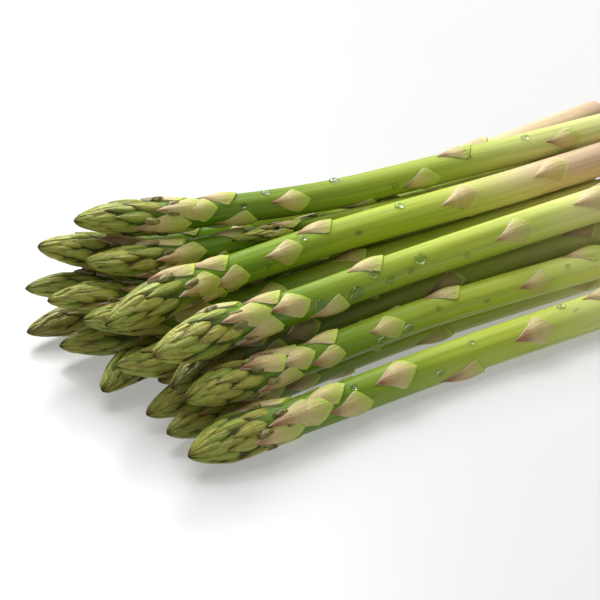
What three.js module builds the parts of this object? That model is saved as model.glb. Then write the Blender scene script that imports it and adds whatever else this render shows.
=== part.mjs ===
// A loose bundle of asparagus lying on its side, tips to -X and cut butts to +X.
// Millimetres, +Z up. Every spear grew as one piece, so every spear is one body.
import * as THREE from "three";

// ---- Sizes that drive the bundle -------------------------------------------------------------
const SPEAR_LENGTH = 220;        // tip to cut butt of a full-length spear
const GIRTH = 12;                // width of an ordinary stalk half way along
const HEAD_LENGTH = 30;          // closed bud head, from its point to where the stalk takes over
const HEAD_PLUMPNESS = 1.17;     // widest part of the head, as a share of the stalk's width
const NECK_SHARE = 0.95;         // narrowest part, just behind the head
const BUTT_SHARE = 1.04;         // the cut end is a little wider than the middle
const POINT_WIDTH = 0.8;         // the blunt point of a head
const SPEAR_CLEARANCE = 0.5;     // gap kept between two spears that touch
const RING_SIDES = 12;           // sides of each cross-section
const STALK_STEP = 12;           // spacing of cross-sections along the stalk
const STATION_STEP = 4;          // spacing of the planes the heap is settled on

// Where the five seats of a spear stand, behind its point.
const SEAT_PLACES = [0, 0.5 * HEAD_LENGTH, 1.2 * HEAD_LENGTH, 0.48 * SPEAR_LENGTH, SPEAR_LENGTH];

// ---- The spears ------------------------------------------------------------------------------
// girth and length are shares of the sizes above; back is how far the point stands behind the
// front of the heap, in girths; seats are [across, up] in girths at the five places along it.
const SPEARS = [
  {
    name: "bottom_spear_1", girth: 1.12, length: 1.0, back: 0.9,
    seats: [[0.0, 0.4], [0.1, 0.5], [0.2, 0.55], [0.9, 0.55], [1.4, 0.6]],
  },
  {
    name: "bottom_spear_2", girth: 1.0, length: 0.98, back: 1.0,
    seats: [[1.55, 0.4], [1.65, 0.5], [2.1, 0.5], [3.05, 0.5], [3.65, 0.5]],
  },
  {
    name: "bottom_spear_3", girth: 0.95, length: 1.0, back: 1.0,
    seats: [[2.5, 0.4], [2.65, 0.5], [3.1, 0.5], [4.05, 0.5], [4.65, 0.5]],
  },
  {
    name: "bottom_spear_4", girth: 1.0, length: 0.93, back: 2.1,
    seats: [[3.9, 0.4], [4.0, 0.5], [4.2, 0.5], [5.0, 0.5], [5.6, 0.5]],
  },
  {
    name: "bottom_spear_5", girth: 1.0, length: 1.02, back: 0.5,
    seats: [[4.35, 0.3], [5.1, 0.45], [5.55, 0.5], [6.0, 0.5], [6.6, 0.5]],
  },
  {
    name: "bottom_spear_6", girth: 0.95, length: 1.0, back: 0.6,
    seats: [[7.25, 0.4], [6.85, 0.5], [6.75, 0.5], [7.0, 0.5], [7.6, 0.5]],
  },
  {
    name: "bottom_spear_7", girth: 0.85, length: 1.03, back: 0.15,
    seats: [[8.45, 0.4], [8.45, 0.45], [8.3, 0.45], [8.15, 0.45], [8.6, 0.45]],
  },
  {
    name: "second_row_spear_1", girth: 0.95, length: 1.0, back: 1.3,
    seats: [[1.2, 1.35], [1.4, 1.35], [1.5, 1.35], [2.35, 1.35], [2.65, 1.25]],
  },
  {
    name: "second_row_spear_2", girth: 1.0, length: 0.99, back: 1.4,
    seats: [[2.1, 1.25], [2.55, 1.3], [2.75, 1.35], [3.45, 1.35], [3.75, 1.35]],
  },
  {
    name: "second_row_spear_3", girth: 0.95, length: 1.01, back: 0.7,
    seats: [[3.4, 1.25], [2.9, 1.3], [3.35, 1.35], [4.45, 1.4], [4.75, 1.45]],
  },
  {
    name: "second_row_spear_4", girth: 1.0, length: 1.0, back: 0.8,
    seats: [[6.1, 1.3], [5.3, 1.3], [4.8, 1.4], [5.4, 1.45], [5.8, 1.45]],
  },
  {
    name: "second_row_spear_5", girth: 0.85, length: 1.0, back: 0.2,
    seats: [[6.7, 2.05], [6.35, 1.95], [6.25, 1.7], [6.45, 1.5], [6.8, 1.5]],
  },
  {
    name: "second_row_spear_6", girth: 0.8, length: 1.02, back: 0.0,
    seats: [[8.05, 2.3], [7.85, 2.15], [7.6, 1.75], [7.5, 1.45], [7.9, 1.45]],
  },
  {
    name: "third_row_spear_1", girth: 1.06, length: 1.01, back: 0.85,
    seats: [[1.9, 2.1], [2.05, 2.1], [2.35, 2.2], [3.25, 2.3], [3.7, 2.35]],
  },
  {
    name: "third_row_spear_2", girth: 1.04, length: 1.0, back: 0.65,
    seats: [[4.5, 2.1], [4.65, 2.2], [4.95, 2.4], [5.8, 2.55], [6.2, 2.6]],
  },
  {
    name: "third_row_spear_3", girth: 0.88, length: 0.99, back: 1.45,
    seats: [[7.2, 3.0], [6.7, 2.9], [6.6, 2.75], [6.95, 2.2], [7.2, 2.1]],
  },
  {
    name: "third_row_spear_4", girth: 0.95, length: 1.08, back: 0.5,
    seats: [[8.1, 3.2], [7.9, 2.8], [7.7, 2.5], [7.85, 2.3], [8.95, 2.6]],
  },
  {
    name: "top_spear_1", girth: 0.94, length: 0.99, back: 1.55,
    seats: [[8.0, 3.75], [7.6, 3.7], [7.15, 3.6], [6.9, 3.1], [7.05, 2.9]],
  },
  {
    name: "top_spear_2", girth: 0.42, length: 0.5, back: 5.6,
    seats: [[6.15, 3.05], [6.2, 3.0], [6.25, 2.95], [6.35, 2.8], [6.4, 2.75]],
  },
];

// ---- Shape of one spear ----------------------------------------------------------------------
// Half the width of a spear at a distance behind its point.
function halfWidth(spear, distance) {
  const stalk = 0.5 * GIRTH * spear.girth;
  const length = SPEAR_LENGTH * spear.length;
  const widest = 0.62 * HEAD_LENGTH;
  const neck = 1.5 * HEAD_LENGTH;
  if (distance <= widest) {
    const t = Math.max(0, distance / widest);
    const ogive = Math.pow(Math.sin(0.5 * Math.PI * t), 0.72);
    return 0.5 * POINT_WIDTH + (stalk * HEAD_PLUMPNESS - 0.5 * POINT_WIDTH) * ogive;
  }
  if (distance <= neck) {
    const t = (distance - widest) / (neck - widest);
    const ease = t * t * (3 - 2 * t);
    return stalk * (HEAD_PLUMPNESS + (NECK_SHARE - HEAD_PLUMPNESS) * ease);
  }
  const t = (distance - neck) / (length - neck);
  return stalk * (NECK_SHARE + (BUTT_SHARE - NECK_SHARE) * t);
}

// Distances behind the point at which a spear has a cross-section.
function sectionDistances(spear) {
  const length = SPEAR_LENGTH * spear.length;
  const shares = [0, 0.05, 0.14, 0.28, 0.44, 0.62, 0.9, 1.2, 1.5];
  const distances = shares.map((share) => share * HEAD_LENGTH);
  const rest = length - 1.5 * HEAD_LENGTH;
  const count = Math.max(2, Math.round(rest / STALK_STEP));
  for (let i = 1; i <= count; i += 1) {
    distances.push(1.5 * HEAD_LENGTH + (rest * i) / count);
  }
  return distances;
}

// A smooth run through the five seats, as [across, up] in millimetres.
function seatAt(spear, distance) {
  const places = SEAT_PLACES;
  const seats = spear.seats;
  const d = Math.min(Math.max(distance / spear.length, 0), SPEAR_LENGTH);
  let k = 0;
  while (k < places.length - 2 && d > places[k + 1]) {
    k += 1;
  }
  const span = places[k + 1] - places[k];
  const t = (d - places[k]) / span;
  const slope = (n, axis) => {
    const a = Math.max(0, n - 1);
    const b = Math.min(places.length - 1, n + 1);
    return (seats[b][axis] - seats[a][axis]) / (places[b] - places[a]);
  };
  return [0, 1].map((axis) => {
    const h00 = (1 + 2 * t) * (1 - t) * (1 - t);
    const h10 = t * (1 - t) * (1 - t);
    const h01 = t * t * (3 - 2 * t);
    const h11 = t * t * (t - 1);
    const value = h00 * seats[k][axis] + h10 * span * slope(k, axis)
      + h01 * seats[k + 1][axis] + h11 * span * slope(k + 1, axis);
    return value * GIRTH;
  });
}

// ---- Settling the heap -----------------------------------------------------------------------
// Each spear is carried on planes that stand across the heap. On every plane the spears are
// circles: they sink a little, push each other apart and stand on the table.
function settleHeap() {
  const lines = SPEARS.map((spear) => {
    const start = spear.back * GIRTH;
    const end = start + SPEAR_LENGTH * spear.length;
    const first = Math.floor(start / STATION_STEP);
    const last = Math.ceil(end / STATION_STEP);
    const line = { spear, start, end, first, last, seat: [], at: [], reach: [] };
    for (let j = first; j <= last; j += 1) {
      const distance = j * STATION_STEP - start;
      const seat = seatAt(spear, distance);
      line.seat.push(seat);
      line.at.push([seat[0], seat[1]]);
    }
    for (let n = 0; n < line.seat.length; n += 1) {
      const a = line.seat[Math.max(0, n - 1)];
      const b = line.seat[Math.min(line.seat.length - 1, n + 1)];
      const run = STATION_STEP * (n > 0 && n < line.seat.length - 1 ? 2 : 1);
      const slant = Math.hypot(run, b[0] - a[0], b[1] - a[1]) / run;
      const distance = (first + n) * STATION_STEP - start;
      const nearest = Math.min(Math.max(distance + 0.5 * STATION_STEP, 0), end - start);
      line.reach.push(halfWidth(spear, nearest) * slant);
    }
    return line;
  });

  const lastPlane = Math.max(...lines.map((line) => line.last));
  const separate = () => {
    for (let j = 0; j <= lastPlane; j += 1) {
      const here = lines.filter((line) => j >= line.first && j <= line.last);
      for (let a = 0; a < here.length; a += 1) {
        const p = here[a].at[j - here[a].first];
        const reachP = here[a].reach[j - here[a].first];
        for (let b = a + 1; b < here.length; b += 1) {
          const q = here[b].at[j - here[b].first];
          const apart = reachP + here[b].reach[j - here[b].first] + SPEAR_CLEARANCE;
          const dy = q[0] - p[0];
          const dz = q[1] - p[1];
          const distance = Math.hypot(dy, dz) || 1e-6;
          if (distance < apart) {
            const push = (0.5 * (apart - distance)) / distance;
            p[0] -= dy * push;
            p[1] -= dz * push;
            q[0] += dy * push;
            q[1] += dz * push;
          }
        }
      }
      for (const line of here) {
        const p = line.at[j - line.first];
        p[1] = Math.max(p[1], line.reach[j - line.first]);
      }
    }
  };

  // The drift of a spear from its seats is spread along it, as in a stiff stem.
  const stiffen = (share) => {
    for (const line of lines) {
      const drift = line.at.map((p, n) => [p[0] - line.seat[n][0], p[1] - line.seat[n][1]]);
      for (let n = 0; n < drift.length; n += 1) {
        const a = drift[Math.max(0, n - 1)];
        const b = drift[Math.min(drift.length - 1, n + 1)];
        for (const axis of [0, 1]) {
          const even = 0.5 * (a[axis] + b[axis]);
          line.at[n][axis] = line.seat[n][axis] + drift[n][axis] + share * (even - drift[n][axis]);
        }
      }
    }
  };

  for (let pass = 0; pass < 400; pass += 1) {
    for (const line of lines) {
      line.at.forEach((p, n) => {
        p[0] += 0.03 * (line.seat[n][0] - p[0]);
        p[1] += 0.02 * (line.seat[n][1] - p[1]) - 0.01;
      });
    }
    for (let n = 0; n < 6; n += 1) {
      stiffen(0.8);
    }
    separate();
  }
  for (let pass = 0; pass < 40; pass += 1) {
    stiffen(0.5);
    for (let n = 0; n < 20; n += 1) {
      separate();
    }
  }
  for (let pass = 0; pass < 300; pass += 1) {
    separate();
  }
  return lines;
}

// Centre of a settled spear at a distance behind its point.
function centreAt(line, distance) {
  const place = (line.start + distance) / STATION_STEP - line.first;
  const n = Math.min(Math.max(Math.floor(place), 0), line.at.length - 2);
  const t = place - n;
  return [0, 1].map((axis) => line.at[n][axis] * (1 - t) + line.at[n + 1][axis] * t);
}

// ---- Closed body of one spear ----------------------------------------------------------------
function spearGeometry(line, shift) {
  const distances = sectionDistances(line.spear);
  const positions = [];
  const index = [];
  const centres = distances.map((distance) => {
    const [across, up] = centreAt(line, distance);
    return [line.start + distance - shift[0], across - shift[1], up - shift[2]];
  });
  distances.forEach((distance, n) => {
    const a = centres[Math.max(0, n - 1)];
    const b = centres[Math.min(centres.length - 1, n + 1)];
    const run = b[0] - a[0];
    const slant = Math.hypot(run, b[1] - a[1], b[2] - a[2]) / run;
    const radius = halfWidth(line.spear, distance) * Math.min(slant, 1.25);
    for (let side = 0; side < RING_SIDES; side += 1) {
      const turn = (2 * Math.PI * side) / RING_SIDES;
      positions.push(
        centres[n][0],
        centres[n][1] + radius * Math.sin(turn),
        centres[n][2] - radius * Math.cos(turn),
      );
    }
  });
  const rings = distances.length;
  for (let n = 0; n < rings - 1; n += 1) {
    for (let side = 0; side < RING_SIDES; side += 1) {
      const next = (side + 1) % RING_SIDES;
      const a = n * RING_SIDES + side;
      const b = n * RING_SIDES + next;
      const c = (n + 1) * RING_SIDES + next;
      const d = (n + 1) * RING_SIDES + side;
      index.push(a, b, c, a, c, d);
    }
  }
  const last = (rings - 1) * RING_SIDES;
  for (let side = 1; side < RING_SIDES - 1; side += 1) {
    index.push(0, side + 1, side);
    index.push(last, last + side, last + side + 1);
  }
  const geometry = new THREE.BufferGeometry();
  geometry.setAttribute("position", new THREE.Float32BufferAttribute(positions, 3));
  geometry.setIndex(index);
  geometry.computeVertexNormals();
  return geometry;
}

// ---- The bundle ------------------------------------------------------------------------------
const GREENS = [0x8fae4a, 0x7f9f45, 0x9ab657, 0x86a44d];

function buildBundle() {
  const lines = settleHeap();
  const group = new THREE.Group();
  group.name = "asparagus_bundle";
  const low = [Infinity, Infinity, Infinity];
  const high = [-Infinity, -Infinity, -Infinity];
  for (const line of lines) {
    const trial = spearGeometry(line, [0, 0, 0]);
    trial.computeBoundingBox();
    trial.boundingBox.min.toArray().forEach((v, axis) => {
      low[axis] = Math.min(low[axis], v);
    });
    trial.boundingBox.max.toArray().forEach((v, axis) => {
      high[axis] = Math.max(high[axis], v);
    });
  }
  const shift = [0.5 * (low[0] + high[0]), 0.5 * (low[1] + high[1]), low[2]];
  lines.forEach((line, n) => {
    const material = new THREE.MeshStandardMaterial({
      color: GREENS[n % GREENS.length],
      roughness: 0.45,
      metalness: 0,
    });
    const mesh = new THREE.Mesh(spearGeometry(line, shift), material);
    mesh.name = line.spear.name;
    group.add(mesh);
  });
  return group;
}

export default buildBundle();
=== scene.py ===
"""A loose bundle of asparagus on a pale table, grown spear by spear on the CAD solids."""

import math
import random

import bmesh
import bpy
import numpy as np
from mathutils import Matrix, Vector


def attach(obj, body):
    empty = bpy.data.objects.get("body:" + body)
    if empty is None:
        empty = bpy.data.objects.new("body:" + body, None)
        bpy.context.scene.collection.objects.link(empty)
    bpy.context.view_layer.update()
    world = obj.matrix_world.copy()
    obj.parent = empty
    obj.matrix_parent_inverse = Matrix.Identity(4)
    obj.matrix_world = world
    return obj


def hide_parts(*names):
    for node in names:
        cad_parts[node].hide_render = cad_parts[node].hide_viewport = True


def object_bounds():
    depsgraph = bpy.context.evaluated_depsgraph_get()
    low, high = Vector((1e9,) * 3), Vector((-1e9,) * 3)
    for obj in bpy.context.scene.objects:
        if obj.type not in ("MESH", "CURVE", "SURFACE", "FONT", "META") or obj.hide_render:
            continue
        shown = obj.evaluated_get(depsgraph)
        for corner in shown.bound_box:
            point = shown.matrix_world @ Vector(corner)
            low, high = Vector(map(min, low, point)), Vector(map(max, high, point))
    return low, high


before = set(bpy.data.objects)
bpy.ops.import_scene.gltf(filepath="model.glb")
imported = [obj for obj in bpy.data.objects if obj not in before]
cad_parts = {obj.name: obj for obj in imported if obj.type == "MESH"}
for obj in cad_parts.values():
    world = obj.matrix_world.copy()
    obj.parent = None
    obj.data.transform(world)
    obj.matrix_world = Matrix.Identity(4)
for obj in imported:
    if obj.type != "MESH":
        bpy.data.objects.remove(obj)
cad_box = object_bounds()

# ---- Sizes, in metres and degrees ------------------------------------------------------------
MM = 0.001
PATTERN_LENGTH = 220 * MM        # the straight pattern stalk, before it is fitted to a spear
PATTERN_RADIUS = 6 * MM
STALK_SIDES = 32
STALK_RINGS = 84
CUT_STEPS = ((0.35, -0.25), (0.9, -0.35), (2.2, 0.2))   # butt, in mm: step inward, then move out
CUT_DEPTH = 0.7 * MM             # faces this near the butt's end are flesh
CUT_SHARE = 0.97                 # if they lie within this share of the radius
SKIN_DEPTH = 0.25 * MM           # the stalk's skin lies this far inside the CAD solid
CORE_DEPTH = 1.0 * MM            # the core of the head lies deeper, under its bracts
POINT_DEPTH = 0.3 * MM           # and at the very point it lies this deep
POINT_END = 6 * MM               # where the point of the head ends
HEAD_START = 22 * MM             # the painted shade on the stalk's core under the head starts to clear here
HEAD_END = 30 * MM               # where the closed head passes into the stalk
NECK_END = 44 * MM               # where the skin reaches its full width
RIB_DEPTH = 0.012                # five broad ribs along the stalk, as a share of its width
FINE_RIB_DEPTH = 0.006           # nine finer ones
GOLDEN_TURN = 137.5              # leaves follow each other round the stalk by this angle
FRONT_TURN = -58.5               # the side of a spear that faces forward and up
FIRST_BRACT = 4.5 * MM           # base of the first bract behind the point
FIRST_COVER = 32 * MM            # from here on the bracts are broad covers with buds behind them
LAST_BRACT = 44 * MM
FULL_HEAD = 7 * MM               # half width of a full head, FULL_HEAD_AT behind the point
FULL_HEAD_AT = 20 * MM
BRACT_COVER = 1.5                # how many bracts lie over each other at any spot
BRACT_SHARE = 0.55               # how much of its length times its width a bract fills
COVER_SHARE = 0.72               # the same for a cover
ROLL_FLOOR = -0.85 * MM          # what lies lower than this in a leaf keeps still as it rolls
FIRST_LEAF = 49 * MM             # first scale leaf of a spiral
LEAF_GAP = 7.5 * MM              # distance to the next one
GAP_GROWTH = 1.16                # and how much each gap grows on the last
BUTT_CLEAR = 8 * MM              # no leaf starts this near the butt
BACK_LEAVES = (52, 66, 92, 118, 155, 196)   # leaves round the back, millimetres behind the point
FULL_GIRTH = 12 * MM             # the leaf pattern's heights suit a stalk this thick
USUAL_DEEP = 0.4                 # how deep a green a spear has, if its habit doesn't say
RING_GAP = 0.4 * MM              # points of a CAD solid further apart are on different rings
RING_REACH = 0.3 * MM            # points of one ring lie this near its plane
TABLE_CLEARANCE = 0.02 * MM      # nothing reaches lower than this above the table
SMOOTH_ANGLE = 48                # edges sharper than this stay sharp
PATTERN_SHIFT = 3.0              # how far apart two spears' skin patterns may start
FIRST_SEED, SEED_STEP = 700, 13  # each spear draws from a seed of its own

TABLE_SIZE = 4.0
LENS = 153.6                     # in millimetres, as the sensor
SENSOR = 36.0
CAMERA_AZIMUTH, CAMERA_ELEVATION, CAMERA_DISTANCE = -30.0, 28.0, 0.8654
AIM_TO_HEADS = 0.168             # the camera's aim, off the middle, as a share of the length
AIM_FORWARD = 0.0021             # and towards the front
AIM_HEIGHT = 0.3836              # and its height, as a share of the bundle's
SKY_STRENGTH = 0.28


# ---- Small helpers for modelling -------------------------------------------------------------
def select_only(*objects):
    """Leaves just these objects selected, with the first one active."""
    bpy.ops.object.select_all(action="DESELECT")
    for obj in objects:
        obj.select_set(True)
    bpy.context.view_layer.objects.active = objects[0]


def start_piece(name):
    """Names the primitive that was just added and applies its place."""
    obj = bpy.context.active_object
    obj.name = name
    obj.data.name = name
    select_only(obj)
    bpy.ops.object.transform_apply(location=True, rotation=True, scale=True)
    return obj


def pick_faces(obj, wanted):
    """In edit mode, selects the faces that wanted(face) accepts."""
    bpy.ops.mesh.select_mode(type="FACE")
    bpy.ops.mesh.select_all(action="DESELECT")
    shape = bmesh.from_edit_mesh(obj.data)
    for face in shape.faces:
        face.select_set(bool(wanted(face)))
    shape.select_flush(True)
    bmesh.update_edit_mesh(obj.data)


def pick_edges(obj, wanted):
    """In edit mode, selects the edges that wanted(edge) accepts."""
    bpy.ops.mesh.select_mode(type="EDGE")
    bpy.ops.mesh.select_all(action="DESELECT")
    shape = bmesh.from_edit_mesh(obj.data)
    for edge in shape.edges:
        edge.select_set(bool(wanted(edge)))
    bmesh.update_edit_mesh(obj.data)


def copy_of(pattern, name):
    """A copy of a modelled pattern with a mesh of its own."""
    obj = pattern.copy()
    obj.data = pattern.data.copy()
    obj.name = name
    bpy.context.scene.collection.objects.link(obj)
    return obj


def read_points(mesh):
    """The points of a mesh, one row each."""
    points = np.zeros(len(mesh.vertices) * 3)
    mesh.vertices.foreach_get("co", points)
    return points.reshape(-1, 3)


def write_points(mesh, points):
    """Moves the points of a mesh."""
    mesh.vertices.foreach_set("co", np.ascontiguousarray(points, dtype=float).ravel())
    mesh.update()


def write_marks(mesh, name, kind, values):
    """Stores one attribute on the points of a mesh."""
    old = mesh.attributes.get(name)
    if old is not None:
        mesh.attributes.remove(old)
    marks = mesh.attributes.new(name=name, type=kind, domain="POINT")
    field = "color" if kind == "FLOAT_COLOR" else "vector"
    marks.data.foreach_set(field, np.ascontiguousarray(values, dtype=float).ravel())


def read_marks(mesh, name):
    """The four numbers that every point of a mesh holds under a name."""
    values = np.zeros(len(mesh.vertices) * 4)
    mesh.attributes[name].data.foreach_get("color", values)
    return values.reshape(-1, 4)


def run_between(value, places, heights):
    """Straight runs between a few chosen heights."""
    return np.interp(value, places, heights)


# ---- Shader nodes written as arithmetic ------------------------------------------------------
class Wire:
    """One output of a node. Sums, differences and products of wires make Math nodes."""

    def __init__(self, finish, socket):
        self.finish = finish
        self.socket = socket

    def __add__(self, other):
        return self.finish.maths("ADD", self, other)

    def __sub__(self, other):
        return self.finish.maths("SUBTRACT", self, other)

    def __mul__(self, other):
        return self.finish.maths("MULTIPLY", self, other)

    def __radd__(self, other):
        return self.finish.maths("ADD", other, self)

    def __rsub__(self, other):
        return self.finish.maths("SUBTRACT", other, self)

    def __rmul__(self, other):
        return self.finish.maths("MULTIPLY", other, self)


class Finish:
    """A material under construction."""

    def __init__(self, name):
        self.material = bpy.data.materials.new(name)
        self.material.use_nodes = True
        self.tree = self.material.node_tree
        self.tree.nodes.clear()

    def add(self, kind, settings=None, sockets=None, take=0):
        """One node: its type, its settings, and what its inputs hold or are fed by."""
        node = self.tree.nodes.new(kind)
        for name, value in (settings or {}).items():
            setattr(node, name, value)
        for name, value in (sockets or {}).items():
            if isinstance(value, Wire):
                self.tree.links.new(value.socket, node.inputs[name])
            else:
                node.inputs[name].default_value = value
        return Wire(self, node.outputs[take]) if len(node.outputs) else node

    def maths(self, operation, *terms):
        """One step of arithmetic on wires and numbers."""
        return self.add("ShaderNodeMath", {"operation": operation}, dict(enumerate(terms)))

    def scaled(self, vector, factors):
        """A vector times three factors, to stretch a pattern."""
        return self.add("ShaderNodeVectorMath", {"operation": "MULTIPLY"},
                        {0: vector, 1: factors})

    def ramp(self, value, low, high, start=0.0, end=1.0):
        """A smooth step from start to end as value goes from low to high."""
        return self.add("ShaderNodeMapRange", {"interpolation_type": "SMOOTHSTEP"}, {
            "Value": value, "From Min": low, "From Max": high,
            "To Min": start, "To Max": end,
        })

    def mix(self, share, first, second):
        """One colour over another."""
        return self.add("ShaderNodeMix", {"data_type": "RGBA"},
                        {0: share, 6: first, 7: second}, take=2)

    def marks(self, name, take="Color"):
        """What the points of the piece hold under a name."""
        return self.add("ShaderNodeAttribute", {"attribute_name": name}, take=take)

    def parts(self, colour):
        """Red, green and blue of a colour as three wires."""
        node = self.tree.nodes.new("ShaderNodeSeparateColor")
        self.tree.links.new(colour.socket, node.inputs[0])
        return [Wire(self, output) for output in node.outputs]

    def noise(self, place, scale, detail, roughness, distortion=0.0):
        """A cloudy pattern, 0 to 1."""
        return self.add("ShaderNodeTexNoise", None, {
            "Vector": place, "Scale": scale, "Detail": detail,
            "Roughness": roughness, "Distortion": distortion,
        })

    def cells(self, place, scale):
        """The distance to the nearest of many scattered spots."""
        return self.add("ShaderNodeTexVoronoi", None, {"Vector": place, "Scale": scale})

    def bump(self, height, strength, distance, under=None):
        """Fine relief, over a coarser one if there is one under it."""
        sockets = {"Height": height, "Strength": strength, "Distance": distance}
        if under is not None:
            sockets["Normal"] = under
        return self.add("ShaderNodeBump", None, sockets)

    def close(self, **sockets):
        """Ends the material in one Principled shader. Input names use _ for a space."""
        named = {name.replace("_", " "): value for name, value in sockets.items()}
        shader = self.add("ShaderNodeBsdfPrincipled", None, named)
        self.add("ShaderNodeOutputMaterial", None, {"Surface": shader})
        return self.material


def paint(red, green, blue):
    """A colour as painted, 0 to 255 each, as a linear colour."""
    def linear(value):
        share = value / 255
        return share / 12.92 if share <= 0.04045 else ((share + 0.055) / 1.055) ** 2.4
    return (linear(red), linear(green), linear(blue), 1.0)


# ---- Finishes --------------------------------------------------------------------------------
def stalk_skin():
    """Waxy skin: green by the head, paler down the stalk, with fine strands and small specks."""
    f = Finish("stalk_skin")
    down, blush, deep = f.parts(f.marks("spear"))
    olive = f.marks("spear", take="Alpha")
    clear = f.marks("leaf", take="Alpha")
    place = f.marks("straight", take="Vector")
    strands = f.noise(f.scaled(place, (14.0, 620.0, 620.0)), 1.0, 5.0, 0.6)
    streaks = f.noise(f.scaled(place, (9.0, 190.0, 190.0)), 1.0, 3.0, 0.5)
    clouds = f.noise(f.scaled(place, (30.0, 90.0, 90.0)), 1.0, 3.0, 0.55)
    specks = f.cells(f.scaled(place, (520.0, 900.0, 900.0)), 1.0)
    fade = down + (streaks - 0.5) * 0.1 + (clouds - 0.5) * 0.12
    colour = f.mix(f.ramp(fade, 0.16, 0.58), paint(98, 136, 4), paint(182, 198, 66))
    colour = f.mix(f.ramp(fade, 0.55, 0.95), colour, paint(238, 239, 156))
    colour = f.mix(f.ramp(deep - fade * 0.45, 0.0, 0.8) * 0.75, colour, paint(78, 112, 0))
    pale = f.ramp(fade + blush * 0.5, 1.0, 1.25)
    colour = f.mix(pale, colour, paint(226, 200, 164))
    flush = f.ramp(fade + blush * 0.42 + (clouds - 0.5) * 0.3, 1.1, 1.5)
    colour = f.mix(flush * 0.55, colour, paint(176, 128, 120))
    colour = f.mix(olive * f.ramp(clouds, 0.25, 0.75, 0.45, 1.0), colour, paint(112, 96, 62))
    colour = f.mix(f.ramp(strands, 0.42, 0.72) * 0.2, colour, paint(190, 200, 90))
    colour = f.mix(f.ramp(strands, 0.55, 0.3) * 0.22, colour, paint(74, 104, 10))
    colour = f.mix(f.ramp(specks, 0.16, 0.06) * 0.25, colour, paint(190, 200, 110))
    # painted shade: under the head the stalk's core turns dark olive, so the gaps between the
    # bracts read as shade
    colour = f.mix(clear, paint(60, 72, 14), colour)
    sheen = 0.31 + (clouds - 0.5) * 0.22 + (strands - 0.5) * 0.16 + (1 - clear) * 0.4
    coarse = f.bump(streaks, 0.35, 0.0006)
    fine = f.bump(strands, 0.3, 0.00022, coarse)
    return f.close(Base_Color=colour, Roughness=sheen, Normal=fine, IOR=1.4,
                   Subsurface_Weight=0.1, Subsurface_Radius=(0.5, 1.0, 0.1),
                   Subsurface_Scale=0.0015)


def leaf_skin():
    """Dry scale leaves: yellow green base, tan and plum towards the point, thin pale rims."""
    f = Finish("leaf_skin")
    along, across, chance = f.parts(f.marks("leaf"))
    down, blush, _ = f.parts(f.marks("spear"))
    olive = f.marks("spear", take="Alpha")
    place = f.marks("straight", take="Vector")
    veins = f.noise(f.scaled(place, (60.0, 900.0, 900.0)), 1.0, 4.0, 0.6)
    clouds = f.noise(place, 260.0, 4.0, 0.6)
    pores = f.noise(place, 1500.0, 2.0, 0.5)
    wander = along + (clouds - 0.5) * 0.5 + (chance - 0.5) * 0.25
    colour = f.mix(f.ramp(wander, 0.0, 0.42), paint(188, 194, 96), paint(202, 186, 124))
    colour = f.mix(f.ramp(wander, 0.38, 0.95), colour, paint(156, 108, 76))
    plum = f.ramp(wander + across * 0.35 + (veins - 0.5) * 0.25, 0.8, 1.3)
    colour = f.mix(plum * 0.65, colour, paint(118, 76, 60))
    colour = f.mix(blush * f.ramp(clouds, 0.3, 0.7) * 0.4, colour, paint(172, 136, 108))
    pale = f.ramp(down + blush * 0.5, 0.8, 1.2)
    colour = f.mix(pale * 0.5, colour, paint(214, 182, 146))
    colour = f.mix(olive * 0.7, colour, paint(104, 84, 60))
    colour = f.mix(f.ramp(veins, 0.5, 0.75) * 0.22, colour, paint(190, 182, 116))
    rim = f.ramp(across + (clouds - 0.5) * 0.2, 0.86, 1.0)
    colour = f.mix(rim * 0.6, colour, paint(216, 206, 176))
    # the base's raised ledge: a lighter yellow green, partly its own colour and partly a painted
    # highlight along its edge
    ledge_and_highlight = f.ramp(along + (clouds - 0.5) * 0.03, 0.1, 0.05)
    colour = f.mix(ledge_and_highlight * 0.85, colour, f.mix(pale, paint(186, 204, 84), paint(212, 206, 140)))
    # painted shade: the leaf's underside and the walls down to it turn dark olive brown, except
    # along the base's ledge
    shown = f.ramp(f.marks("leaf", take="Alpha") + ledge_and_highlight * 0.6, 0.0, 0.6)
    colour = f.mix(shown, paint(58, 52, 24), colour)
    sheen = 0.46 + (clouds - 0.5) * 0.2
    coarse = f.bump(veins * 0.8 + clouds, 0.6, 0.0008)
    fine = f.bump(pores, 0.25, 0.0002, coarse)
    return f.close(Base_Color=colour, Roughness=sheen, Normal=fine, IOR=1.4,
                   Subsurface_Weight=0.1, Subsurface_Radius=(0.6, 0.8, 0.2),
                   Subsurface_Scale=0.001)


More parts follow.
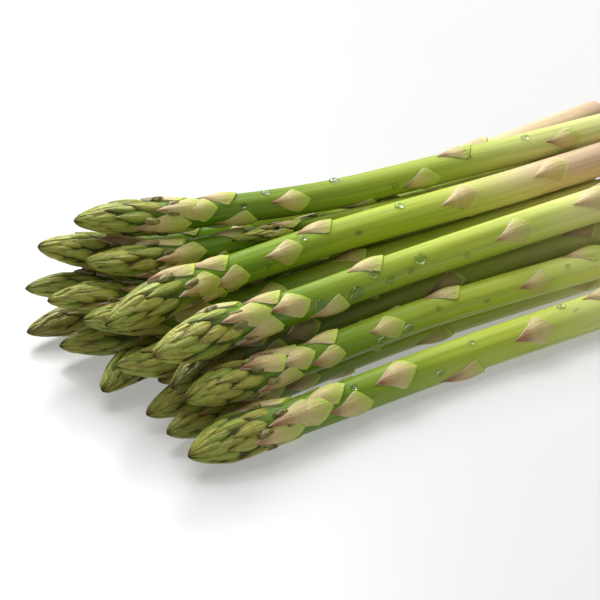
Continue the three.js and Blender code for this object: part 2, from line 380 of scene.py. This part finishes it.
def bract_skin():
    """Plump bracts of the head: yellow green bodies with tan and plum points and rims."""
    f = Finish("bract_skin")
    along, across, chance = f.parts(f.marks("leaf"))
    down, _, _ = f.parts(f.marks("spear"))
    olive = f.marks("spear", take="Alpha")
    place = f.marks("straight", take="Vector")
    veins = f.noise(f.scaled(place, (90.0, 1000.0, 1000.0)), 1.0, 4.0, 0.6)
    clouds = f.noise(place, 300.0, 4.0, 0.6)
    pores = f.noise(place, 1700.0, 2.0, 0.5)
    body = f.mix(f.ramp(chance + (clouds - 0.5) * 0.6, 0.2, 0.8),
                 paint(96, 130, 2), paint(148, 148, 40))
    wander = along + (clouds - 0.5) * 0.45 + (chance - 0.5) * 0.2
    colour = f.mix(f.ramp(wander, 0.0, 0.3), paint(92, 118, 10), body)
    colour = f.mix(f.ramp(wander, 0.55, 1.0) * 0.85, colour, paint(120, 82, 42))
    # painted highlight: the raised middle of each bract is lightened towards cream
    painted_crown_highlight = f.ramp(across, 0.75, 0.1) * f.ramp(along, 0.02, 0.3)
    colour = f.mix(painted_crown_highlight * 0.55, colour, paint(204, 208, 100))
    edge = f.ramp(across + (clouds - 0.5) * 0.3 + along * 0.2, 0.68, 1.02)
    colour = f.mix(edge * f.ramp(down, 0.0, 0.035, 0.25, 0.85), colour, paint(70, 46, 20))
    colour = f.mix(f.ramp(clouds, 0.48, 0.7) * 0.35, colour, paint(118, 82, 44))
    colour = f.mix(olive * 0.8, colour, paint(90, 60, 40))
    colour = f.mix(f.ramp(veins, 0.52, 0.78) * 0.25, colour, paint(190, 184, 104))
    # painted shade: each bract's underside and walls darken to dark olive, as shade in the gaps
    # between bracts
    colour = f.mix(f.ramp(f.marks("leaf", take="Alpha"), 0.2, 0.95), paint(52, 46, 20), colour)
    sheen = 0.38 + (clouds - 0.5) * 0.2
    folds = f.maths("SINE", across * 9 + veins * 5 + chance * 20)
    coarse = f.bump(veins * 1.2 + folds * 0.14 + clouds * 0.8, 1.0, 0.0011)
    fine = f.bump(pores, 0.3, 0.0002, coarse)
    return f.close(Base_Color=colour, Roughness=sheen, Normal=fine, IOR=1.4,
                   Subsurface_Weight=0.05, Subsurface_Radius=(0.6, 0.9, 0.2),
                   Subsurface_Scale=0.001)


def bud_skin():
    """Small crinkled side buds tucked behind the lower bracts."""
    f = Finish("bud_skin")
    place = f.marks("straight", take="Vector")
    folds = f.noise(f.scaled(place, (420.0, 1100.0, 1100.0)), 1.0, 4.0, 0.6, 0.8)
    clouds = f.noise(place, 500.0, 3.0, 0.5)
    colour = f.mix(f.ramp(folds, 0.35, 0.65), paint(74, 68, 26), paint(158, 154, 74))
    colour = f.mix(f.ramp(clouds, 0.55, 0.75) * 0.5, colour, paint(150, 116, 84))
    crinkle = f.bump(folds, 0.8, 0.0005)
    return f.close(Base_Color=colour, Roughness=0.5 + (clouds - 0.5) * 0.2, Normal=crinkle)


def cut_flesh():
    """The cut butt: pale flesh, a green rim, and a scatter of strand ends."""
    f = Finish("cut_flesh")
    place = f.marks("straight", take="Vector")
    strands = f.cells(place, 1100.0)
    grain = f.noise(place, 900.0, 4.0, 0.6)
    colour = f.mix(f.ramp(grain, 0.3, 0.7), paint(214, 208, 164), paint(190, 186, 128))
    colour = f.mix(f.ramp(strands, 0.28, 0.12) * 0.6, colour, paint(150, 138, 92))
    rough = f.bump(grain, 0.5, 0.0004)
    return f.close(Base_Color=colour, Roughness=0.62 + (grain - 0.5) * 0.2, Normal=rough)


def water_skin():
    """Clear water."""
    f = Finish("water")
    place = f.add("ShaderNodeTexCoord", take="Object")
    ripple = f.noise(place, 900.0, 1.0, 0.4)
    return f.close(Base_Color=paint(240, 250, 235), Roughness=0.02 + ripple * 0.03,
                   IOR=1.24, Transmission_Weight=1.0)


def table_skin():
    """A white, faintly glossy table top that glows a little, to keep its shadows pale."""
    f = Finish("table_top")
    place = f.add("ShaderNodeTexCoord", take="Object")
    mottle = f.noise(place, 6.0, 3.0, 0.5)
    colour = f.mix(mottle, (0.37, 0.37, 0.368, 1), (0.38, 0.38, 0.378, 1))
    return f.close(Base_Color=colour, Roughness=0.3 + (mottle - 0.5) * 0.04, IOR=1.3,
                   Emission_Color=colour, Emission_Strength=0.86)


# The finishes of a spear, in the order of its material slots.
FINISHES = (stalk_skin(), cut_flesh(), leaf_skin(), bract_skin(), bud_skin())
SKIN, FLESH, LEAF, BRACT, BUD = range(len(FINISHES))


# ---- Patterns, each modelled once ------------------------------------------------------------
def finish_all(obj, slot):
    """Gives a pattern the finishes of a spear, with the one in this slot on every face."""
    for material in FINISHES:
        obj.data.materials.append(material)
    for face in obj.data.polygons:
        face.material_index = slot


def model_stalk():
    """A straight stalk along +X with many rings, and a dished, cut butt."""
    bpy.ops.object.select_all(action="DESELECT")
    bpy.ops.mesh.primitive_cylinder_add(
        vertices=STALK_SIDES, radius=PATTERN_RADIUS, depth=PATTERN_LENGTH,
        location=(0.5 * PATTERN_LENGTH, 0, 0), rotation=(0, math.radians(90), 0))
    stalk = start_piece("pattern_stalk")
    bpy.ops.object.mode_set(mode="EDIT")
    pick_edges(stalk, lambda e: abs(e.verts[0].co.x - e.verts[1].co.x) > 0.5 * PATTERN_LENGTH)
    bpy.ops.mesh.subdivide(number_cuts=STALK_RINGS)
    pick_faces(stalk, lambda face: face.normal.x > 0.9)
    for inward, outward in CUT_STEPS:
        bpy.ops.mesh.inset(thickness=inward * MM)
        bpy.ops.transform.translate(value=(outward * MM, 0, 0))
    bpy.ops.object.mode_set(mode="OBJECT")
    finish_all(stalk, SKIN)
    for face in stalk.data.polygons:
        if face.center.x > PATTERN_LENGTH - CUT_DEPTH and (
                math.hypot(face.center.y, face.center.z) < CUT_SHARE * PATTERN_RADIUS):
            face.material_index = FLESH
    return stalk


def model_leaf(name, slot, outline, spine, hem, root, arrow):
    """One leaf lying flat: x runs from its base, 0, to its point, 1, and y runs across it.

    outline, spine and hem are runs of (place along the leaf, value): its half width, and in
    millimetres the height of its middle and of its rim. root is the height of its underside,
    and arrow how far the middle of its base runs back between its two shoulders.
    """
    bpy.ops.object.select_all(action="DESELECT")
    bpy.ops.mesh.primitive_grid_add(x_subdivisions=7, y_subdivisions=6, size=1.0,
                                    location=(0.5, 0, 0))
    leaf = start_piece(name)
    bpy.ops.object.mode_set(mode="EDIT")
    bpy.ops.mesh.select_all(action="SELECT")
    bpy.ops.mesh.extrude_region_move(TRANSFORM_OT_translate={"value": (0, 0, 1.0)})
    pick_faces(leaf, lambda face: max(v.co.z for v in face.verts) < 0.5)
    bpy.ops.mesh.dissolve_faces()
    bpy.ops.mesh.select_all(action="SELECT")
    bpy.ops.mesh.normals_make_consistent(inside=False)
    bpy.ops.object.mode_set(mode="OBJECT")

    points = read_points(leaf.data)
    along = np.clip(points[:, 0], 0, 1)
    across = np.clip(2 * points[:, 1], -1, 1)
    above = points[:, 2] > 0.5
    half = run_between(along, *zip(*outline))
    middle = run_between(along, *zip(*spine))
    rim = run_between(along, *zip(*hem))
    height = middle + (rim - middle) * np.abs(across) ** 1.9
    flare = np.where(above, 1.0, 1.04)
    shaped = np.empty_like(points)
    shaped[:, 0] = along - arrow * (1 - np.abs(across)) * (1 - along) ** 3
    shaped[:, 0] -= np.where(above, 0.0, 0.05) * (1 - along) ** 3
    shaped[:, 1] = across * half * flare
    shaped[:, 2] = np.where(above, height, root) * MM
    write_points(leaf.data, shaped)
    marks = np.zeros((len(points), 4))
    marks[:, 0] = np.where(above, along, along * 0.5)
    marks[:, 1] = np.abs(across)
    # alpha: 1 on the top face, 0 on the underside; the finishes paint shade where it is low
    marks[:, 3] = np.where(above, 1.0, 0.0)
    write_marks(leaf.data, "leaf", "FLOAT_COLOR", marks)
    finish_all(leaf, slot)
    return leaf


def model_bud():
    """A small bud: a stretched ball pinched into folds along its length."""
    bpy.ops.object.select_all(action="DESELECT")
    bpy.ops.mesh.primitive_uv_sphere_add(segments=12, ring_count=7, radius=1.0,
                                         rotation=(0, math.radians(90), 0))
    bud = start_piece("pattern_bud")
    bpy.ops.object.mode_set(mode="EDIT")
    bpy.ops.mesh.select_all(action="SELECT")
    bpy.ops.transform.resize(value=(1.0, 0.45, 0.45))
    bpy.ops.object.mode_set(mode="OBJECT")
    points = read_points(bud.data)
    turn = np.arctan2(points[:, 1], points[:, 2])
    fold = 1 + 0.16 * np.sin(6 * turn + 3 * points[:, 0])
    points[:, 1] *= fold
    points[:, 2] *= fold
    write_points(bud.data, points)
    marks = np.zeros((len(points), 4))
    marks[:, 0] = 0.5
    marks[:, 3] = 1.0
    write_marks(bud.data, "leaf", "FLOAT_COLOR", marks)
    finish_all(bud, BUD)
    return bud


def model_drop():
    """A water drop: a ball cut off below its middle and flattened."""
    bpy.ops.object.select_all(action="DESELECT")
    bpy.ops.mesh.primitive_uv_sphere_add(segments=14, ring_count=9, radius=1.0)
    drop = start_piece("pattern_drop")
    bpy.ops.object.mode_set(mode="EDIT")
    bpy.ops.mesh.select_all(action="SELECT")
    bpy.ops.mesh.bisect(plane_co=(0, 0, -0.25), plane_no=(0, 0, 1), use_fill=True,
                        clear_inner=True)
    bpy.ops.mesh.select_all(action="SELECT")
    bpy.ops.transform.resize(value=(1.9, 1.4, 0.5))
    bpy.ops.object.mode_set(mode="OBJECT")
    drop.data.materials.append(water_skin())
    return drop


pattern_stalk = model_stalk()
pattern_leaf = model_leaf(
    "pattern_leaf", LEAF,
    outline=[(0, 1.0), (0.1, 0.96), (0.28, 0.76), (0.48, 0.5), (0.68, 0.28), (0.86, 0.11),
             (1, 0.01)],
    spine=[(0, 1.2), (0.14, 1.6), (0.35, 1.5), (0.6, 1.0), (0.8, 0.5), (1, 0.12)],
    hem=[(0, 0.45), (0.2, 0.3), (0.6, 0.2), (1, 0.1)],
    root=-0.5, arrow=0.42)
pattern_bract = model_leaf(
    "pattern_bract", BRACT,
    outline=[(0, 0.3), (0.13, 0.8), (0.28, 1.0), (0.43, 0.94), (0.6, 0.7), (0.8, 0.36),
             (1, 0.01)],
    spine=[(0, -0.9), (0.13, 0.15), (0.28, 0.75), (0.5, 0.95), (0.75, 0.95), (1, 0.85)],
    hem=[(0, -1.2), (0.15, -0.9), (0.35, -0.75), (0.6, -0.35), (0.85, 0.35), (1, 0.75)],
    root=-2.2, arrow=0.1)
pattern_cover = model_leaf(
    "pattern_cover", LEAF,
    outline=[(0, 1.0), (0.14, 0.95), (0.3, 0.82), (0.5, 0.58), (0.7, 0.34), (0.86, 0.15),
             (1, 0.01)],
    spine=[(0, 0.8), (0.14, 1.1), (0.35, 1.4), (0.6, 1.45), (0.82, 1.1), (1, 0.5)],
    hem=[(0, 0.45), (0.25, 0.1), (0.6, 0.25), (1, 0.35)],
    root=-0.9, arrow=0.34)
pattern_bud = model_bud()
pattern_drop = model_drop()


# ---- Spears ----------------------------------------------------------------------------------
class Spear:
    """What one CAD solid says: a centre line, its length, and the half width along it."""

    def __init__(self, name):
        points = read_points(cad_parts[name].data)
        planes = sorted(set(np.round(points[:, 0], 5)))
        merged = []
        for plane in planes:
            if not merged or plane - merged[-1] > RING_GAP:
                merged.append(plane)
        centres, reaches = [], []
        for plane in merged:
            ring = points[np.abs(points[:, 0] - plane) < RING_REACH]
            ring = np.unique(np.round(ring, 6), axis=0)
            centre = 0.5 * (ring.min(0) + ring.max(0))
            centres.append(centre)
            reaches.append(np.hypot(*(ring - centre)[:, 1:].T).max())
        self.centres = np.array(centres)
        steps = np.linalg.norm(np.diff(self.centres, axis=0), axis=1)
        self.places = np.concatenate([[0], np.cumsum(steps)])
        slopes = np.gradient(self.centres, self.places, axis=0)
        lean = np.clip(np.abs(slopes[:, 0]), 0.8, 1.0)
        self.reaches = np.array(reaches) * lean
        self.length = self.places[-1]
        self.name = name

    def reach(self, place):
        """Half the width of the spear, at a distance behind its point."""
        return np.interp(place, self.places, self.reaches)

    def guide(self):
        """A smooth curve along the centre line, for the Curve modifier."""
        line = bpy.data.curves.new("guide_" + self.name, "CURVE")
        line.dimensions = "3D"
        line.resolution_u = 16
        line.twist_mode = "Z_UP"
        spline = line.splines.new("BEZIER")
        keep = [0, 4] + list(range(6, len(self.centres)))    # the point's rings lie close
        spline.bezier_points.add(len(keep) - 1)
        for knot, place in zip(spline.bezier_points, keep):
            knot.co = self.centres[place]
            knot.handle_left_type = "AUTO"
            knot.handle_right_type = "AUTO"
        guide = bpy.data.objects.new("guide_" + self.name, line)
        bpy.context.scene.collection.objects.link(guide)
        return guide


def fit_stalk(spear, rng):
    """A copy of the pattern stalk, drawn out to the spear's length and widths."""
    stalk = copy_of(pattern_stalk, spear.name + "_stalk")
    points = read_points(stalk.data)
    place = points[:, 0] * spear.length / PATTERN_LENGTH
    share = np.hypot(points[:, 1], points[:, 2]) / PATTERN_RADIUS
    turn = np.arctan2(points[:, 1], points[:, 2])
    depth = run_between(place, [0, POINT_END, HEAD_END, NECK_END],
                        [POINT_DEPTH, CORE_DEPTH, CORE_DEPTH, SKIN_DEPTH])
    width = np.maximum(spear.reach(place) - depth, 0.15 * MM)
    ribs = 1 + RIB_DEPTH * np.sin(5 * turn + rng.uniform(0, 6) + 14 * place)
    ribs -= RIB_DEPTH
    ribs += FINE_RIB_DEPTH * np.sin(9 * turn + rng.uniform(0, 6) - 9 * place)
    points[:, 0] = place
    points[:, 1] = np.sin(turn) * share * width * ribs
    points[:, 2] = np.cos(turn) * share * width * ribs
    write_points(stalk.data, points)
    marks = np.zeros((len(points), 4))
    # alpha: 0 under the head, where the skin paints the stalk's core in shade, rising to 1 at
    # HEAD_END
    marks[:, 3] = run_between(place, [HEAD_START, HEAD_END], [0, 1])
    write_marks(stalk.data, "leaf", "FLOAT_COLOR", marks)
    return stalk


def lay_on(spear, pattern, name, base, turn, length, width, rng, swell, sink, lift=0.0):
    """Wraps a copy of a flat leaf round the straight spear.

    base is the distance of its base behind the point of the spear, and turn its angle round
    the stalk. swell scales its heights, sink sets it deeper and lift raises its point.
    """
    leaf = copy_of(pattern, name)
    length = min(length, base - 0.3 * MM)
    points = read_points(leaf.data)
    skew = rng.uniform(-0.12, 0.12)
    lean = rng.uniform(-0.25, 0.25)
    roll = rng.uniform(-0.22, 0.22)
    along = np.clip(points[:, 0], 0, 1)
    place = base - (points[:, 0] + skew * points[:, 1] * (1 - along)) * length
    reach = spear.reach(np.clip(place, 0.2 * MM, spear.length)) - sink
    narrowing = np.clip(spear.reach(np.maximum(place, 0.5 * MM)), 1.2 * MM, None)
    across = points[:, 1] + lean * along ** 2
    around = math.radians(turn) + across * 0.5 * width / narrowing
    height = points[:, 2] * swell + roll * points[:, 1] * MM * (points[:, 2] > ROLL_FLOOR)
    out = np.maximum(reach + height + lift * along ** 2, 0.1 * MM)
    shaped = np.column_stack([place, np.sin(around) * out, np.cos(around) * out])
    write_points(leaf.data, shaped)
    marks = read_marks(leaf.data, "leaf")
    marks[:, 2] = rng.random()
    write_marks(leaf.data, "leaf", "FLOAT_COLOR", marks)
    return leaf


def set_bud(spear, name, place, turn, size, sink, rng):
    """Tucks a bud against the spear, lying along it."""
    bud = copy_of(pattern_bud, name)
    points = read_points(bud.data) * size
    angle = math.radians(turn)
    slant = rng.uniform(-0.25, 0.25)
    out = spear.reach(place) - sink
    along = place + points[:, 0] + slant * points[:, 1]
    side = points[:, 1] - slant * points[:, 0]
    up = points[:, 2]
    y = (out + up) * math.sin(angle) + side * math.cos(angle)
    z = (out + up) * math.cos(angle) - side * math.sin(angle)
    write_points(bud.data, np.column_stack([along, y, z]))
    marks = read_marks(bud.data, "leaf")
    marks[:, 2] = rng.random()
    write_marks(bud.data, "leaf", "FLOAT_COLOR", marks)
    return bud


def grow_head(spear, rng, stout):
    """The closed head: plump bracts in a spiral, then covers with buds behind them."""
    parts = []
    shrink = spear.reach(FULL_HEAD_AT) / FULL_HEAD
    reduced = 0.35 + 0.65 * shrink
    first = FIRST_BRACT * shrink
    last = LAST_BRACT * reduced
    first_cover = last - (LAST_BRACT - FIRST_COVER) * reduced
    base = first
    turn = rng.uniform(0, 360)
    while base < last:
        share = (base - first) / (last - first)
        length = run_between(share, [0, 0.15, 0.4, 1], [6.0, 10.5, 13.8, 14.8]) * MM
        length *= (0.4 + 0.6 * shrink) * rng.uniform(0.92, 1.08)
        width = run_between(share, [0, 0.15, 0.4, 1], [3.0, 5.2, 8.6, 10.4]) * MM
        width *= shrink * rng.uniform(0.92, 1.08)
        label = f"{spear.name}_bract_{len(parts)}"
        if base < first_cover:
            swell = run_between(share, [0, 0.3, 1], [0.6, 1.1, 1.5]) * shrink * stout
            sink = run_between(share, [0, 0.3, 1], [0.5, 1.25, 1.5]) * MM * shrink
            parts.append(lay_on(spear, pattern_bract, label, base, turn, length, width, rng,
                                swell=swell * rng.uniform(0.85, 1.15), sink=sink))
            room = BRACT_SHARE * length * width / BRACT_COVER
        else:
            parts.append(lay_on(spear, pattern_cover, label, base, turn, length, width, rng,
                                swell=shrink * rng.uniform(0.9, 1.15), sink=0.5 * MM * shrink,
                                lift=rng.uniform(-0.3, 0.3) * MM * shrink))
            for side in (-1, 1):
                parts.append(set_bud(
                    spear, f"{label}_bud_{side + 1}", base - length * rng.uniform(0.52, 0.66),
                    turn + side * rng.uniform(15, 21), rng.uniform(2.4, 3.1) * MM * shrink,
                    0.5 * MM * shrink, rng))
            room = COVER_SHARE * length * width
        base += room / (math.tau * spear.reach(base))
        turn += GOLDEN_TURN + rng.uniform(-7, 7)
    return parts


def dress_stalk(spear, rng, leaves):
    """Scale leaves down the stalk."""
    parts = []
    for n, (place, turn) in enumerate(leaves):
        girth = 2 * spear.reach(place)
        length = girth * rng.uniform(0.9, 1.0)
        width = girth * rng.uniform(0.8, 0.88)
        parts.append(lay_on(spear, pattern_leaf, f"{spear.name}_leaf_{n}", place, turn, length,
                            width, rng, swell=rng.uniform(0.85, 1.05) * girth / FULL_GIRTH,
                            sink=SKIN_DEPTH))
    return parts


def spiral_leaves(spear, rng):
    """Leaf seats that follow each other round the stalk, further and further apart."""
    leaves = []
    place = FIRST_LEAF
    gap = LEAF_GAP
    turn = rng.uniform(0, 360)
    while place < spear.length - BUTT_CLEAR:
        leaves.append((place, turn))
        place += gap * rng.uniform(0.85, 1.15)
        gap *= GAP_GROWTH
        turn += GOLDEN_TURN + rng.uniform(-8, 8)
    return leaves


def front_leaves(seats, spear, rng):
    """Leaf seats given for the front, with others spread round the back."""
    leaves = [(place * MM, FRONT_TURN + turn) for place, turn in seats]
    for place in BACK_LEAVES:
        if place * MM < spear.length - BUTT_CLEAR:
            leaves.append((place * MM, FRONT_TURN + 180 + rng.uniform(-50, 50)))
    return leaves


def mark_spear(mesh, spear, habit, chance):
    """Notes on every point where it lies on the straight spear, for the finishes."""
    points = read_points(mesh)
    marks = np.empty((len(points), 4))
    marks[:, 0] = np.clip(points[:, 0] / spear.length, 0, 1)
    marks[:, 1] = habit["blush"]
    marks[:, 2] = habit.get("deep", USUAL_DEEP)
    marks[:, 3] = habit["olive"]
    write_marks(mesh, "spear", "FLOAT_COLOR", marks)
    shift = np.array([chance * PATTERN_SHIFT, 0, 0])
    write_marks(mesh, "straight", "FLOAT_VECTOR", points + shift)


def bend_along(obj, guide):
    """Bends a straight piece along a guide and keeps the result."""
    select_only(obj)
    bend = obj.modifiers.new("bend", "CURVE")
    bend.object = guide
    bend.deform_axis = "POS_X"
    bpy.ops.object.modifier_apply(modifier=bend.name)


# Every spear: how far pale and pink reach up its stalk, how brown it is and how plump its head
# is. For those that lie at the front also how deep its green is, and its leaf seats as
# (millimetres behind the point, turn from the front in degrees).
SPEARS = {
    "bottom_spear_1": dict(blush=0.3, olive=0.0, stout=1.1, deep=0.4, seats=[
        (46, 0), (54, 45), (62, -30), (82, 20), (110, -70), (141, 0), (174, 55), (203, -30)]),
    "bottom_spear_2": dict(blush=0.2, olive=0.25, stout=1.0),
    "bottom_spear_3": dict(blush=0.2, olive=0.3, stout=1.0),
    "bottom_spear_4": dict(blush=0.2, olive=0.3, stout=1.0),
    "bottom_spear_5": dict(blush=0.2, olive=0.15, stout=0.95),
    "bottom_spear_6": dict(blush=0.2, olive=0.2, stout=0.95),
    "bottom_spear_7": dict(blush=0.5, olive=0.55, stout=0.85),
    "second_row_spear_1": dict(blush=0.2, olive=0.0, stout=1.1, deep=0.35, seats=[
        (45, 15), (57, -25), (59, 65), (84, 0), (112, 65), (149, -10), (172, 60),
        (203, -25)]),
    "second_row_spear_2": dict(blush=0.5, olive=0.5, stout=0.9),
    "second_row_spear_3": dict(blush=0.2, olive=0.1, stout=1.0),
    "second_row_spear_4": dict(blush=0.3, olive=0.2, stout=1.05),
    "second_row_spear_5": dict(blush=0.2, olive=0.1, stout=0.95),
    "second_row_spear_6": dict(blush=0.2, olive=0.1, stout=0.85),
    "third_row_spear_1": dict(blush=0.5, olive=0.0, stout=1.15, deep=0.4, seats=[
        (43, -45), (48, 75), (55, 5), (72, -55), (92, 65), (152, -5), (188, 20),
        (205, -60)]),
    "third_row_spear_2": dict(blush=0.75, olive=0.0, stout=1.1, deep=0.2, seats=[
        (46, 55), (51, -30), (75, 0), (92, 65), (151, 10), (191, 15)]),
    "third_row_spear_3": dict(blush=0.3, olive=0.0, stout=1.0),
    "third_row_spear_4": dict(blush=0.75, olive=0.0, stout=0.95),
    "top_spear_1": dict(blush=0.0, olive=0.0, stout=1.0, deep=0.6, seats=[
        (44, 5), (53, 60), (59, -60), (79, -5), (108, -100), (132, -30), (149, 60), (194, -10)]),
    "top_spear_2": dict(blush=0.4, olive=0.1, stout=0.7),
}


def grow_spear(name, number):
    """One whole spear as one piece, in place of its CAD solid."""
    rng = random.Random(FIRST_SEED + SEED_STEP * number)
    habit = SPEARS[name]
    spear = Spear(name)
    seats = habit.get("seats")
    leaves = front_leaves(seats, spear, rng) if seats else spiral_leaves(spear, rng)
    parts = [fit_stalk(spear, rng)]
    parts += grow_head(spear, rng, habit["stout"])
    parts += dress_stalk(spear, rng, leaves)
    select_only(*parts)
    bpy.ops.object.join()
    whole = bpy.context.active_object
    whole.name = name + "_asparagus"
    whole.data.name = whole.name
    mark_spear(whole.data, spear, habit, rng.random())
    guide = spear.guide()
    bend_along(whole, guide)
    points = read_points(whole.data)
    points[:, 2] = np.maximum(points[:, 2], TABLE_CLEARANCE)    # pressed flat on the table
    write_points(whole.data, points)
    select_only(whole)
    bpy.ops.object.shade_smooth_by_angle(angle=math.radians(SMOOTH_ANGLE))
    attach(whole, "root")
    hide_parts(name)
    return spear, guide


def wet_spear(spear, guide, seats):
    """Drops of water along one spear, bent with it."""
    drops = []
    for n, (place, turn, size) in enumerate(seats):
        place *= MM
        angle = math.radians(FRONT_TURN + turn)
        drop = copy_of(pattern_drop, f"{spear.name}_drop_{n}")
        points = read_points(drop.data) * size * MM
        out = spear.reach(place) - SKIN_DEPTH + points[:, 2]
        y = out * math.sin(angle) + points[:, 1] * math.cos(angle)
        z = out * math.cos(angle) - points[:, 1] * math.sin(angle)
        write_points(drop.data, np.column_stack([place + points[:, 0], y, z]))
        drops.append(drop)
    select_only(*drops)
    bpy.ops.object.join()
    wet = bpy.context.active_object
    bend_along(wet, guide)
    return wet


# Drops of water: millimetres behind the point, turn from the front in degrees, and size.
WET = {
    "bottom_spear_1": [(62, 30, 0.8), (96, -25, 0.9), (112, 35, 0.7), (152, 55, 1.0),
                       (156, 25, 0.6), (190, 10, 0.8)],
    "second_row_spear_1": [(60, -10, 0.7), (78, -35, 1.0), (90, -30, 1.2), (104, 10, 0.6),
                           (124, -20, 0.8), (160, 20, 0.6), (185, -25, 0.9)],
    "third_row_spear_1": [(43, 0, 0.8), (64, -20, 1.3), (80, -25, 1.6), (89, 15, 1.1),
                          (95, -25, 1.0), (104, -15, 0.8), (109, 12, 1.4), (128, -30, 0.7),
                          (150, 20, 0.9), (190, -10, 0.8)],
    "third_row_spear_2": [(64, -25, 0.9), (82, 30, 0.7), (104, -10, 0.8), (124, 45, 1.0),
                          (148, -20, 0.8), (186, 20, 0.7)],
    "top_spear_1": [(58, 5, 0.7), (68, 50, 0.8), (96, 60, 1.1), (118, -25, 0.8),
                    (150, 15, 0.7), (176, 40, 0.9)],
}
guides = []
water_sheets = []
for spear_number, spear_name in enumerate(SPEARS):
    grown, line = grow_spear(spear_name, spear_number)
    guides.append(line)
    if spear_name in WET:
        water_sheets.append(wet_spear(grown, line, WET[spear_name]))
select_only(*water_sheets)
bpy.ops.object.join()
dew = bpy.context.active_object
dew.name = "water_drops"
dew.data.name = "water_drops"
bpy.ops.object.shade_smooth()
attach(dew, "root")

for spare in (pattern_stalk, pattern_leaf, pattern_bract, pattern_cover, pattern_bud,
              pattern_drop, *guides):
    bpy.data.objects.remove(spare, do_unlink=True)

# ---- Table, light and camera -----------------------------------------------------------------
bpy.ops.object.select_all(action="DESELECT")
bpy.ops.mesh.primitive_plane_add(size=TABLE_SIZE, location=(0, 0, 0))
table = start_piece("table_top")
table.data.materials.append(table_skin())

world = bpy.data.worlds.new("white_room")
bpy.context.scene.world = world
world.use_nodes = True
sky = world.node_tree.nodes["Background"]
sky.inputs["Color"].default_value = (1.0, 1.0, 1.0, 1.0)
sky.inputs["Strength"].default_value = SKY_STRENGTH


def away_from(azimuth, elevation):
    """The direction out from the bundle at an azimuth and an elevation, in degrees."""
    a, e = math.radians(azimuth), math.radians(elevation)
    return Vector((math.sin(a) * math.cos(e), -math.cos(a) * math.cos(e), math.sin(e)))


def soft_light(name, azimuth, elevation, distance, size, power):
    """A square softbox that looks at the origin, at the foot of the bundle."""
    lamp = bpy.data.lights.new(name, "AREA")
    lamp.shape = "SQUARE"
    lamp.size = size
    lamp.energy = power
    obj = bpy.data.objects.new(name, lamp)
    away = away_from(azimuth, elevation)
    obj.location = away * distance
    obj.rotation_euler = away.to_track_quat("Z", "Y").to_euler()
    bpy.context.scene.collection.objects.link(obj)


soft_light("back_softbox", 172, 46, 2.2, 1.3, 66)
soft_light("top_softbox", 140, 74, 2.0, 1.2, 18)
soft_light("front_softbox", -60, 12, 2.2, 1.6, 3.5)

camera_data = bpy.data.cameras.new("camera")
camera_data.lens = LENS
camera_data.sensor_width = SENSOR
camera = bpy.data.objects.new("camera", camera_data)
bpy.context.scene.collection.objects.link(camera)
box_low, box_high = (Vector(corner) for corner in cad_box)
aim = (box_low + box_high) * 0.5
aim.x -= AIM_TO_HEADS * (box_high.x - box_low.x)
aim.y -= AIM_FORWARD
aim.z = AIM_HEIGHT * box_high.z
back = away_from(CAMERA_AZIMUTH, CAMERA_ELEVATION)
camera.location = aim + back * CAMERA_DISTANCE
camera.rotation_euler = back.to_track_quat("Z", "Y").to_euler()
bpy.context.scene.camera = camera
bpy.context.scene.view_settings.view_transform = "Standard"
